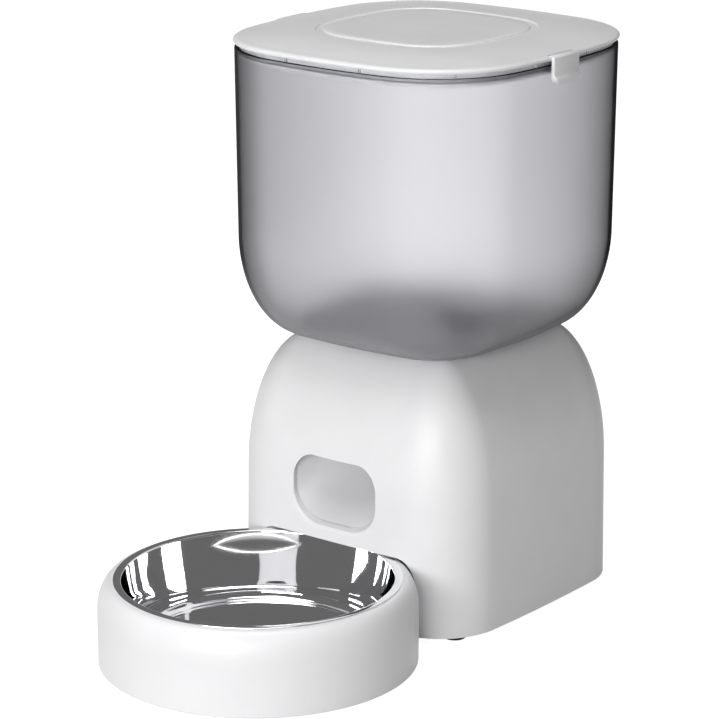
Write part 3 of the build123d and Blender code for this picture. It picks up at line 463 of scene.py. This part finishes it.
lid = {"plan": (179.95, 184.9, 57.0, 370.0), "steps": (12, 18), "searchSteps": (40, 60), "edgeZ": 303.8,
       "edgeMidZ": 304.6, "edgeInset": 0.5, "rollZ": 306.4, "rollInset": 4.0, "rollSteps": 8, "crownRise": 2.8,
       "crownEnd": 41.75, "crownInsets": (7.0, 11.0, 16.0, 21.0, 26.0), "lipShares": (0.25, 0.5, 0.75, 0.9, 1.0),
       "panelSize": (96.5, 99.0), "groove": 3.5, "grooveFlare": 4.4, "grooveZ": 308.4, "panelZ": 309.39,
       "chamfer": 0.8, "ease": 0.1, "easeUp": 0.15, "easeTop": 0.12, "easeIn": 0.25, "panelInsets": (6.0, 20.0),
       "rim": 9.0, "rimZ": 304.6, "roomZ": 306.7, "notchX": 86.7, "notchOut": 110.0, "notchHalf": 11.6,
       "notchY": -3.0, "notchZ": (300.0, 320.0)}
lidAngles = outlineAngles(*lid["steps"], lid["plan"])
scale = lid["panelSize"][0] / lid["plan"][0]
panelPlan = (*lid["panelSize"], lid["plan"][2] * scale, lid["plan"][3] * scale)
lidEdge = [outlinePoint(lid["plan"], 0.0, a) for a in outlineAngles(*lid["searchSteps"], lid["plan"])]


def crownZ(inset):
    share = min(1.0, max(0.0, (inset - lid["rollInset"]) / (lid["crownEnd"] - lid["rollInset"])))
    return lid["rollZ"] + lid["crownRise"] * (1 - (1 - share) ** 2)


def crownAt(x, y):
    inset = min(math.hypot(x - ex, y - ey) for ex, ey in lidEdge)
    return (x, y, crownZ(inset))


def makeLid():
    plan = lid["plan"]
    levels = [(lid["roomZ"], lid["crownEnd"]), (lid["rimZ"], lid["rim"]), (lid["edgeZ"], lid["rim"]),
              (lid["edgeZ"], lid["edgeInset"])]
    levels += quarter(lid["edgeMidZ"], lid["rollZ"], 0.0, lid["rollInset"], lid["rollSteps"])
    levels += [(crownZ(inset), inset) for inset in lid["crownInsets"]]
    rings = [ring(plan, inset, z, lidAngles) for z, inset in levels]
    wide = [(x, y) for x, y, _ in rings[-1]]
    lip = [outlinePoint(panelPlan, -lid["grooveFlare"], a) for a in lidAngles]
    for share in lid["lipShares"]:
        rings.append([crownAt(a[0] + (b[0] - a[0]) * share, a[1] + (b[1] - a[1]) * share)
                      for a, b in zip(wide, lip)])
    panelZ, chamfer, ease = (lid[key] for key in ("panelZ", "chamfer", "ease"))
    chamferZ = panelZ - chamfer
    panel = [(lid["grooveZ"], -lid["groove"]), (lid["grooveZ"], 0.0), (chamferZ - ease, 0.0),
             (chamferZ + lid["easeUp"], ease), (panelZ - lid["easeTop"], chamfer - ease),
             (panelZ, chamfer + lid["easeIn"])]
    panel += [(panelZ, inset) for inset in lid["panelInsets"]]
    rings += [ring(panelPlan, inset, z, lidAngles) for z, inset in panel]
    made = solid(rings, "lidShell")
    for side in (-1, 1):
        xs = sorted((side * lid["notchX"], side * lid["notchOut"]))
        ys = (lid["notchY"] - lid["notchHalf"], lid["notchY"] + lid["notchHalf"])
        cut(made, [box(*zip(xs, ys, lid["notchZ"]), "notch")])
    dress(made, "lid", lidGloss, "lid_shell")


makeLid()
print("stage: lid made")

# Hopper

hopper = {"top": 301.0, "inset": 0.8, "draft": 1.2, "wallShares": (0.2, 0.4, 0.6, 0.8), "roundZ": 200.0,
          "roundSteps": 28, "bottomZ": 146.3, "waist": 35.5, "wall": 2.2, "lip": 3.4, "lipWall": 1.6,
          "lipTop": 303.8, "lipEase": 0.2, "clearAbove": 0.05, "edge": 0.6, "edgeSteps": 5, "hole": 49.8,
          "ribs": 12, "ribSize": (1.0, 1.0, 2.8), "ribSearch": (60, 80)}


def makeHopper():
    top, wall, inset, edge, roundZ = (hopper[key] for key in ("top", "wall", "inset", "edge", "roundZ"))
    lip, lipTop, ease, bottomZ = (hopper[key] for key in ("lip", "lipTop", "lipEase", "bottomZ"))
    waist = hopper["waist"]
    steps = hopper["roundSteps"]
    draft = inset + hopper["draft"]
    inner = lip + hopper["lipWall"]
    under = top - wall
    levels = quarter(roundZ, bottomZ, draft, waist, steps)[::-1]
    levels += [(roundZ + (top - roundZ) * share, draft - hopper["draft"] * share) for share in hopper["wallShares"]]
    levels += quarter(top - edge, top, inset, inset + edge, hopper["edgeSteps"])
    levels += [(top, lip), (lipTop - ease, lip), (lipTop, lip + ease), (lipTop, inner), (under, inner),
               (under, inset + wall)]
    levels += quarter(roundZ, bottomZ + wall, draft + wall, waist + wall, steps)
    rings = [ring(lid["plan"], one, z, lidAngles) for z, one in levels]
    rings.append(roundRing(hopper["hole"], bottomZ + wall, rings[-1]))
    rings.append(roundRing(hopper["hole"], bottomZ, rings[0]))
    made = finishMesh(skin(rings, closed=True), "hopperTank")
    dress(made, "hopper", materials["smoke_plastic"], "hopper_tank")
    made.data.materials.append(materials["clear_pipe"])
    clearZ = point(0, 0, top + hopper["clearAbove"]).z
    for face in made.data.polygons:
        if face.center.z > clearZ:
            face.material_index = 1


def makeLipRibs():
    inset = hopper["lip"] - hopper["ribSize"][0] / 2
    outline = [outlinePoint(lid["plan"], inset, a) for a in outlineAngles(*hopper["ribSearch"], lid["plan"])]
    z = (hopper["top"] + hopper["lipTop"]) / 2
    places = []
    for i in range(hopper["ribs"]):
        angle = 2 * math.pi * (i + 0.5) / hopper["ribs"]
        best = min(outline, key=lambda p: abs(math.remainder(math.atan2(p[1], p[0]) - angle, 2 * math.pi)))
        places.append(((*best, z), angle))
    made = ribs("lipRibs", places, hopper["ribSize"], materials["clear_pipe"])
    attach(made, "hopper")


makeHopper()
makeLipRibs()
print("stage: hopper made")

# Bowl and holder

bowl = {"y": -143.5, "rim": 75.0, "rimWidth": 4.4, "rimZ": 43.2, "rimSteps": 10, "edge": 1.2, "edgeEnd": 176,
        "wallDrop": 1.6, "wallRows": 6, "flare": 0.8, "sheet": 0.8, "floorZ": 7.0, "draft": 6.4, "bend": 5.0,
        "bendSteps": 16, "floorRings": (48.0, 36.0, 24.0, 12.0, 1.0), "underRings": (1.0, 24.0, 48.0),
        "steps": 256, "sharp": 40.0}
holder = {"radius": 83.29, "lowZ": -1.5, "topZ": 42.4, "wallRings": (9.0, 18.0), "roundWidth": 7.8,
          "roundHeight": 16.0, "roundSteps": 24, "innerSteps": 16, "wall": 2.4, "ease": 0.4, "seat": 72.4,
          "seatDrop": 7.0, "ribs": 12, "ribHeight": 10.0, "ribWidth": 1.6, "ribLap": 1.0, "ribZ": 29.0,
          "tongue": ((-20.0, -62.6, 8.0), (20.0, -48.2, 14.0))}
rollR = holder["radius"] - holder["roundWidth"]
rollZ = holder["topZ"] - holder["roundHeight"]


def makeBowl():
    rimZ, floorZ, sheet, bend, edge = (bowl[key] for key in ("rimZ", "floorZ", "sheet", "bend", "edge"))
    throat = bowl["rim"] - bowl["rimWidth"]
    footR = throat - bowl["draft"]
    bendZ = floorZ + bend
    wallZ = rimZ - bowl["wallDrop"]
    rows = bowl["wallRows"]
    profile = [(r, floorZ - sheet) for r in bowl["underRings"]]
    profile += arc(footR - bend, bendZ, bend + sheet, bend + sheet, -90, 0, bowl["bendSteps"])
    profile += [(throat + sheet, wallZ), (throat + sheet + bowl["flare"], rimZ - sheet)]
    profile += arc(bowl["rim"] - sheet / 2, rimZ - sheet / 2, sheet / 2, sheet / 2, -90, 90, bowl["rimSteps"])
    profile += arc(throat + edge, rimZ - edge, edge, edge, 90, bowl["edgeEnd"], bowl["rimSteps"])
    profile += [(throat + (footR - throat) * i / rows, wallZ + (bendZ - wallZ) * i / rows) for i in range(1, rows)]
    profile += arc(footR - bend, bendZ, bend, bend, 0, -90, bowl["bendSteps"])
    profile += [(r, floorZ) for r in bowl["floorRings"]]
    rings = turned(profile, bowl["steps"], bowl["y"])
    made = finishMesh(skin(rings, capStart=True, capEnd=True), "steelBowl", bowl["sharp"])
    dress(made, "tray", materials["polished_steel"], "steel_bowl")


def makeHolder():
    radius, wall, seat, ease = (holder[key] for key in ("radius", "wall", "seat", "ease"))
    lowZ, topZ, width, height = (holder[key] for key in ("lowZ", "topZ", "roundWidth", "roundHeight"))
    seatZ = topZ - holder["seatDrop"]
    profile = [(radius, lowZ + ease)] + [(radius, z) for z in holder["wallRings"]]
    profile += arc(rollR, rollZ, width, height, 0, 90, holder["roundSteps"])
    profile += [(seat + ease, topZ), (seat, topZ - ease), (seat, seatZ), (seat + wall, seatZ),
                (seat + wall, topZ - wall)]
    profile += arc(rollR, rollZ, width - wall, height - wall, 90, 0, holder["innerSteps"])
    profile += [(radius - wall, lowZ), (radius - ease, lowZ)]
    made = finishMesh(skin(turned(profile, bowl["steps"], bowl["y"]), closed=True), "bowlHolder")
    cut(made, [box(*holder["tongue"], "tongue")], "UNION")
    dress(made, "tray", materials["white_plastic"], "bowl_holder")


def makeHolderRibs():
    middle = (holder["seat"] + holder["wall"] + holder["radius"] - holder["wall"]) / 2
    length = holder["radius"] - holder["seat"] - 2 * holder["wall"] + holder["ribLap"]
    places = []
    for i in range(holder["ribs"]):
        angle = 2 * math.pi * i / holder["ribs"]
        spot = (middle * math.cos(angle), bowl["y"] + middle * math.sin(angle), holder["ribZ"])
        places.append((spot, angle))
    size = (length, holder["ribWidth"], holder["ribHeight"])
    made = ribs("holderRibs", places, size, materials["white_plastic"])
    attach(made, "tray")


makeBowl()
makeHolder()
makeHolderRibs()
print("stage: bowl and holder made")

# Base

# An outlet is width, height, upper corner radius and lower corner radius, and a pin hole is x, z and radius
base = {"plan": (159.0, 166.0, 36.0, 1110.0), "steps": (12, 16), "y": 2.5, "lowZ": 2.0, "flare": 0.8,
        "skirtShares": (0.0, 0.15, 0.3, 0.45, 0.6, 0.75, 0.9), "shoulderZ": 70.0, "topZ": 146.0, "crown": 35.5,
        "crownSteps": 30, "wall": 2.8, "cavityDrop": 3.0, "hole": 50.4, "holeZ": (100.0, 160.0), "holeSteps": 192,
        "bayGap": 0.8, "bayTop": 44.0, "bayLow": -5.0, "baySteps": 24, "outlet": (55.0, 37.6, 13.0, 18.0),
        "outletZ": 50.2, "outletFront": -6.0, "outletDepths": (6.0, 16.0), "slope": 52.0, "round": 0.9,
        "roundSteps": 8, "roundKeep": 0.08, "cornerSteps": 16, "ledgeSide": 0.3, "ledgeTop": 6.0, "ledgeFlat": 0.9,
        "tongue": ((-20.5, -62.6, 7.5), (20.5, -47.7, 14.5)), "inlet": (-20.0, 58.0, 4.2),
        "button": (16.0, 58.0, 4.8), "light": (0.0, 58.0, 1.6), "pinDepth": 20, "pinSteps": 64}
baseAngles = outlineAngles(*base["steps"], base["plan"])
baseFront = base["y"] - base["plan"][1] / 2
baseBack = base["y"] + base["plan"][1] / 2
rampRise = math.tan(math.radians(base["slope"]))


def baseSkin(inset, drop, lowZ, name):
    levels = [(lowZ + (base["shoulderZ"] - lowZ) * share, inset - base["flare"] * (1 - share))
              for share in base["skirtShares"]]
    levels += quarter(base["shoulderZ"], base["topZ"] - drop, inset, base["crown"], base["crownSteps"])
    return solid([ring(base["plan"], one, z, baseAngles, base["y"]) for z, one in levels], name)


# The bay follows the holder's wall and rolled top
def bayTool(name, grow):
    gap = base["bayGap"] + grow
    profile = [(holder["radius"] + gap, base["bayLow"])]
    height = base["bayTop"] + grow - rollZ
    profile += arc(rollR, rollZ, holder["roundWidth"] + gap, height, 0, 90, base["baySteps"])
    return solid(turned(profile, bowl["steps"], bowl["y"]), name)


def pinTool(x, z, radius):
    mesh = bmesh.new()
    bmesh.ops.create_cone(mesh, cap_ends=True, segments=base["pinSteps"], radius1=radius * mm,
                          radius2=radius * mm, depth=base["pinDepth"] * mm)
    bmesh.ops.rotate(mesh, verts=mesh.verts, cent=(0, 0, 0), matrix=Matrix.Rotation(math.pi / 2, 3, "X"))
    bmesh.ops.translate(mesh, verts=mesh.verts, vec=point(x, baseBack, z))
    return finishMesh(mesh, "pinTool")


# The outlet's slanting cutter, widened at the front so that its edge comes out rounded
def outletTool():
    width, height, top, foot = base["outlet"]
    rounding = base["round"]
    levels = [(base["outletFront"], rounding)]
    for i in range(base["roundSteps"] + 1):
        depth = rounding * i / base["roundSteps"]
        levels.append((depth, rounding - math.sqrt(max(0.0, rounding**2 - (rounding - depth) ** 2))))
    levels += [(depth, 0.0) for depth in (rounding + base["roundKeep"], *base["outletDepths"])]
    rings = []
    for depth, grow in levels:
        middle = base["outletZ"] + height / 2 + max(0.0, depth) * rampRise
        one = []
        for turn in range(4):
            corner = top if turn in (0, 1) else foot
            cx = (width / 2 - corner) * (1 if turn in (0, 3) else -1)
            cz = (height / 2 - corner) * (1 if turn in (0, 1) else -1)
            for i in range(base["cornerSteps"] + 1):
                angle = math.pi / 2 * (turn + i / base["cornerSteps"])
                one.append((cx + (corner + grow) * math.cos(angle), baseFront + depth,
                            middle + cz + (corner + grow) * math.sin(angle)))
        rings.append(one)
    return solid(rings, "outletTool")


def makeBase():
    wall = base["wall"]
    width, height, _, _ = base["outlet"]
    made = baseSkin(0.0, 0.0, base["lowZ"], "baseShell")
    cavity = baseSkin(wall, wall, base["lowZ"] - base["cavityDrop"], "cavity")
    cut(cavity, [bayTool("bayWall", wall)])
    hole = solid(turned([(base["hole"], z) for z in base["holeZ"]], base["holeSteps"], 0.0), "topHole")
    cut(made, [cavity, bayTool("bay", 0.0), hole, outletTool(), box(*base["tongue"], "tongueSlot"),
               pinTool(*base["inlet"]), pinTool(*base["button"]), pinTool(*base["light"])])
    dress(made, "base", materials["white_plastic"], "base_shell")
    made.data.materials.append(materials["chute_grey"])
    # the ledge between the outlet's rounded edge and the ramp gets the same painted shade, the darker grey copy of
    # the white plastic
    side = width / 2 + base["ledgeSide"]
    low = point(-side, baseFront + base["round"], base["outletZ"])
    high = point(side, baseFront + wall, base["outletZ"] + height + base["ledgeTop"])
    for face in made.data.polygons:
        inside = all(a < c < b for a, c, b in zip(low, face.center, high))
        if inside and abs(face.normal.y) < base["ledgeFlat"]:
            face.material_index = 1


# The ramp seen in the outlet: scooped, so that its sides run out at the opening's edge
chute = {"lap": 0.6, "sheet": 1.6, "lift": 0.2, "clear": 0.05, "curve": 2.2, "open": 8.0, "steps": 24,
         "rows": (0.0, 0.2, 0.5, 1.0, 1.6, 2.4, 3.4, 4.6, 6.0, 8.0, 10.0, 13.0, 16.0, 20.0, 24.0, 29.0, 34.0,
                  40.0, 47.0, 55.0)}


def makeChute():
    width, height, _, foot = base["outlet"]
    steps = chute["steps"]
    low = base["outletZ"] + base["wall"] * rampRise
    span = foot + chute["lap"]
    across = [math.sin(math.pi / 2 * i / steps) for i in range(-steps, steps + 1)]
    rings = []
    for up in chute["rows"]:
        z = low - chute["lap"] + up
        half = width / 2 - foot + math.sqrt(max(0.0, span**2 - max(0.0, span - up) ** 2))
        # the ramp starts behind the front wall, which leans back above the shoulder
        lean = math.asin(max(0.0, (z - base["shoulderZ"]) / (base["topZ"] - base["shoulderZ"])))
        depth = base["wall"] + chute["clear"] + base["crown"] * (1 - math.cos(lean))
        reach = max(0.0, (z - base["outletZ"]) / rampRise - depth - chute["lift"])
        over = max(0.0, up - height) / (chute["rows"][-1] - height)
        power = chute["curve"] + chute["open"] * over
        face = [(u * half, baseFront + depth + reach * (1 - abs(u) ** power), z) for u in across]
        rings.append(face + [(x, y + chute["sheet"], z) for x, y, z in reversed(face)])
    mesh = skin(rings, capStart=True, capEnd=True)
    mesh.from_mesh(frame["nodes"]["food_chute"].data)
    bmesh.ops.remove_doubles(mesh, verts=mesh.verts, dist=cadWeld)
    made = finishMesh(mesh, "foodChute")
    # the ramp wears painted shade: the darker grey copy of the white plastic
    dress(made, "base", materials["chute_grey"], "food_chute")


makeBase()
makeChute()
print("stage: base made")

# Latches: the CAD shape with its edges broken

latch = {"bevel": 0.28, "segments": 3, "bevelAngle": 40, "flatAngle": 1.0}


def makeLatch(node, body):
    mesh = bmesh.new()
    mesh.from_mesh(frame["nodes"][node].data)
    bmesh.ops.remove_doubles(mesh, verts=mesh.verts, dist=cadWeld)
    bmesh.ops.dissolve_limit(mesh, angle_limit=math.radians(latch["flatAngle"]), verts=mesh.verts,
                             edges=mesh.edges)
    bmesh.ops.recalc_face_normals(mesh, faces=mesh.faces)
    made = finishMesh(mesh, node.replace("latch_", "latch") + "Clip")
    bevel = made.modifiers.new("edges", "BEVEL")
    bevel.width = latch["bevel"] * mm
    bevel.segments = latch["segments"]
    bevel.limit_method = "ANGLE"
    bevel.angle_limit = math.radians(latch["bevelAngle"])
    applyModifiers(made)
    smooth(made.data, sharpEdge)
    dress(made, body, lidGloss, node)


makeLatch("latch_left", "left_latch")
makeLatch("latch_right", "right_latch")
print("stage: latches made")

# Finishes of the CAD nodes that stay

slotOf = {part["node"]: part["material_slot"] for part in frame["record"]["subparts"]}
for name, node in frame["nodes"].items():
    node.data.materials.clear()
    node.data.materials.append(materials[slotOf[name]])

# Studio: the camera is in millimetres, lamps and floor are in metres, and the wall's top is in degrees

studio = {"camera": (978.96, -1315.56, 604.74), "back": (0.58972, -0.75752, 0.28), "lens": 157.22, "sensor": 36.0,
          "clip": (0.05, 50.0), "ambient": 0.15, "ceiling": 0.14, "wallTop": (0.0, 3.0), "keyPower": 24.5,
          "keySize": (1.23, 0.48), "keyAt": (0.5, -1.75, 0.5), "topPower": 22.0, "topSize": (1.2, 1.2),
          "topAt": (-0.1, -0.2, 2.0), "aim": (0.0, 0.0, 0.15), "floorHalf": 6, "floorDark": 0.5,
          "floorLight": 0.52, "floorNoise": 3.0, "floorRough": 0.9, "floorGlow": 0.92}


def makeCamera():
    data = bpy.data.cameras.new("camera")
    data.lens = studio["lens"]
    data.sensor_width = studio["sensor"]
    data.clip_start, data.clip_end = studio["clip"]
    camera = place("camera", data)
    camera.location = point(*studio["camera"])
    camera.rotation_mode = "QUATERNION"
    camera.rotation_quaternion = (-Vector(studio["back"])).to_track_quat("-Z", "Y")
    bpy.context.scene.camera = camera


def lamp(name, at, size, power):
    data = bpy.data.lights.new(name, "AREA")
    data.shape = "RECTANGLE"
    data.size, data.size_y = size
    data.energy = power
    made = place(name, data)
    made.location = at
    made.rotation_mode = "QUATERNION"
    made.rotation_quaternion = (Vector(studio["aim"]) - Vector(at)).to_track_quat("-Z", "Y")


# Seen directly or through metal and plastic the room is white, and as a light it is dimmer
def seen(wire):
    rays = wire.tree.nodes.new("ShaderNodeLightPath").outputs
    camera, glossy, through = (Wire(wire.tree, rays[key]) for key in
                               ("Is Camera Ray", "Is Glossy Ray", "Is Transmission Ray"))
    return (camera + glossy + through).clipped(0.0, 1.0)


# Metal sees a white wall low down and a dark ceiling above it
def makeWorld():
    world = bpy.data.worlds.new("room")
    world.use_nodes = True
    bpy.context.scene.world = world
    tree = world.node_tree
    background = tree.nodes["Background"]
    direction = Wire(tree, tree.nodes.new("ShaderNodeTexCoord").outputs["Generated"])
    glossy = Wire(tree, tree.nodes.new("ShaderNodeLightPath").outputs["Is Glossy Ray"])
    height = direction.node("ShaderNodeSeparateXYZ", {}, {0: direction}, "Z")
    low, high = (math.sin(math.radians(angle)) for angle in studio["wallTop"])
    shade = glossy * height.clipped(low, high) * (1 - studio["ceiling"])
    strength = studio["ambient"] + seen(direction) * (1 - studio["ambient"]) - shade
    direction.put(background.inputs["Strength"], strength)
    background.inputs["Color"].default_value = rgb(1, 1, 1)


# The floor is open from below, so that the underside can be looked at
def makeFloor():
    half = studio["floorHalf"]
    data = bpy.data.meshes.new("floor")
    data.from_pydata([(-half, -half, 0), (half, -half, 0), (half, half, 0), (-half, half, 0)], [], [(0, 1, 2, 3)])
    floor = place("floor", data)
    material, shader, coords = startMaterial("floor")
    dark, light = (rgb(*[studio[key]] * 3) for key in ("floorDark", "floorLight"))
    coords.put(shader.inputs["Base Color"], coords.noise(studio["floorNoise"]).blend(dark, light))
    shader.inputs["Roughness"].default_value = studio["floorRough"]
    shader.inputs["Specular IOR Level"].default_value = 0.0
    glow = seen(coords) * studio["floorGlow"]
    grey = glow.node("ShaderNodeCombineColor", {}, {0: glow, 1: glow, 2: glow})
    coords.put(shader.inputs["Emission Color"], grey)
    shader.inputs["Emission Strength"].default_value = 1.0
    below = coords.node("ShaderNodeNewGeometry", {}, {}, "Backfacing")
    coords.mixShaders(below, shader, coords.tree.nodes.new("ShaderNodeBsdfTransparent"))
    data.materials.append(material)


makeCamera()
makeWorld()
makeFloor()
lamp("key", studio["keyAt"], studio["keySize"], studio["keyPower"])
lamp("top", studio["topAt"], studio["topSize"], studio["topPower"])
bpy.context.scene.view_settings.view_transform = "Standard"
print("stage: studio made")
